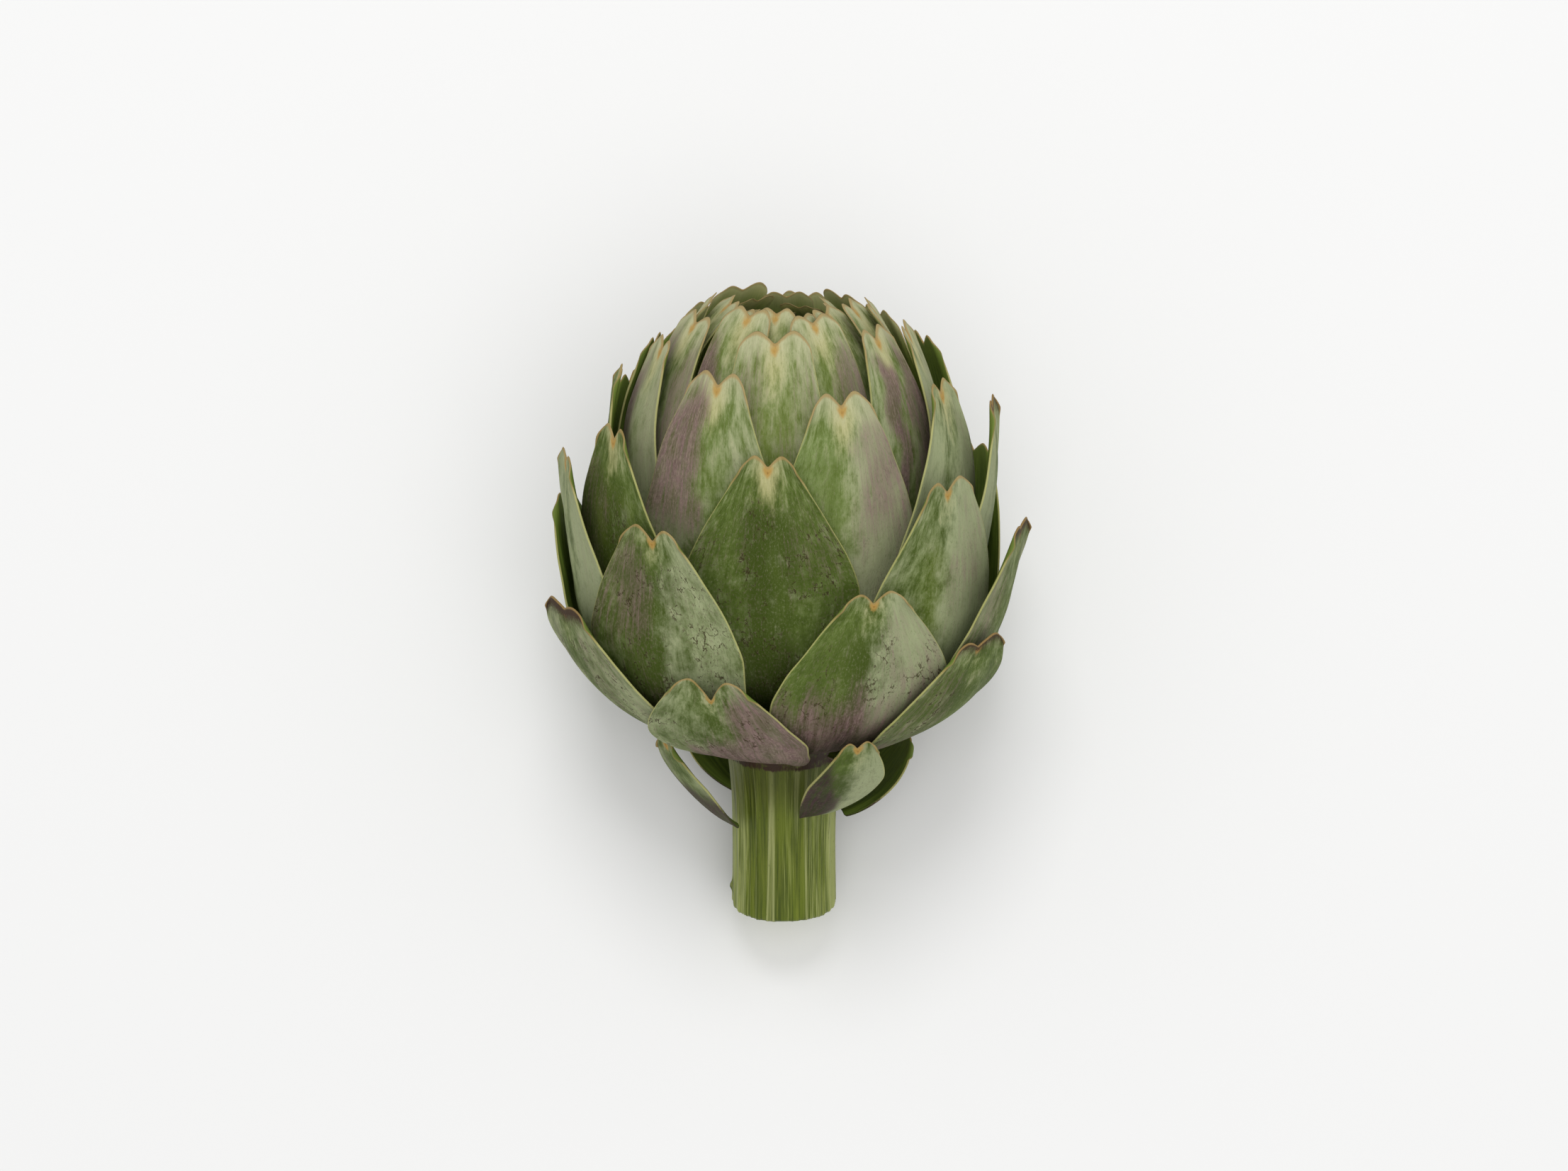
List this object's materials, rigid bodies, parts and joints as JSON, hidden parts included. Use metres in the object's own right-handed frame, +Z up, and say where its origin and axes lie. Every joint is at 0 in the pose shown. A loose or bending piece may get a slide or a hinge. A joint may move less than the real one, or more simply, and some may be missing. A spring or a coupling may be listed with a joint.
{
  "type": "artichoke",
  "caption": "Globe artichoke lying on its side, a ribbed cut stem and a heart covered by overlapping notched bracts that close at the crown.",
  "frame": {"origin": "on the floor, under the middle of the whole artichoke as it lies", "axes": "+Z up from the floor, +Y along the floor from the stem's cut end towards the crown, +X to the right when the crown points away"},
  "size_m": [0.1056, 0.1392, 0.0992],
  "materials": {
    "stem_skin": "matte",
    "stem_bracts": "matte",
    "lower_bracts": "matte",
    "upper_bracts": "matte",
    "crown_bracts": "matte",
    "inner_leaves": "matte",
    "choke_hairs": "matte"
  },
  "bodies": {
    "root": {"stem_and_heart": "stem_skin", "choke": "choke_hairs", "inner_bud": "inner_leaves", "stem_bract_1": "stem_bracts", "stem_bract_2": "stem_bracts", "stem_bract_3": "stem_bracts", "stem_bract_4": "stem_bracts", "stem_bract_5": "stem_bracts", "base_bract_1": "lower_bracts", "base_bract_2": "lower_bracts", "base_bract_3": "lower_bracts", "base_bract_4": "lower_bracts", "base_bract_5": "lower_bracts", "base_bract_6": "lower_bracts", "outer_bract_1": "lower_bracts", "outer_bract_2": "lower_bracts", "outer_bract_3": "lower_bracts", "outer_bract_4": "lower_bracts", "outer_bract_5": "lower_bracts", "outer_bract_6": "lower_bracts", "outer_bract_7": "lower_bracts", "outer_bract_8": "lower_bracts", "outer_bract_9": "lower_bracts", "outer_bract_10": "lower_bracts", "outer_bract_11": "lower_bracts", "middle_bract_1": "lower_bracts", "middle_bract_2": "lower_bracts", "middle_bract_3": "lower_bracts", "middle_bract_4": "lower_bracts", "middle_bract_5": "lower_bracts", "middle_bract_6": "lower_bracts", "middle_bract_7": "lower_bracts", "middle_bract_8": "lower_bracts", "middle_bract_9": "lower_bracts", "upper_bract_1": "upper_bracts", "upper_bract_2": "upper_bracts", "upper_bract_3": "upper_bracts", "upper_bract_4": "upper_bracts", "upper_bract_5": "upper_bracts", "upper_bract_6": "upper_bracts", "upper_bract_7": "upper_bracts", "upper_bract_8": "upper_bracts", "upper_bract_9": "upper_bracts", "upper_bract_10": "upper_bracts", "crown_bract_1": "crown_bracts", "crown_bract_2": "crown_bracts", "crown_bract_3": "crown_bracts", "crown_bract_4": "crown_bracts", "crown_bract_5": "crown_bracts", "crown_bract_6": "crown_bracts", "crown_bract_7": "crown_bracts", "crown_bract_8": "crown_bracts", "crown_bract_9": "crown_bracts", "crown_bract_10": "crown_bracts", "heart_bract_1": "crown_bracts", "heart_bract_2": "crown_bracts", "heart_bract_3": "crown_bracts", "heart_bract_4": "crown_bracts", "heart_bract_5": "crown_bracts", "heart_bract_6": "crown_bracts"}
  },
  "joints": []
}
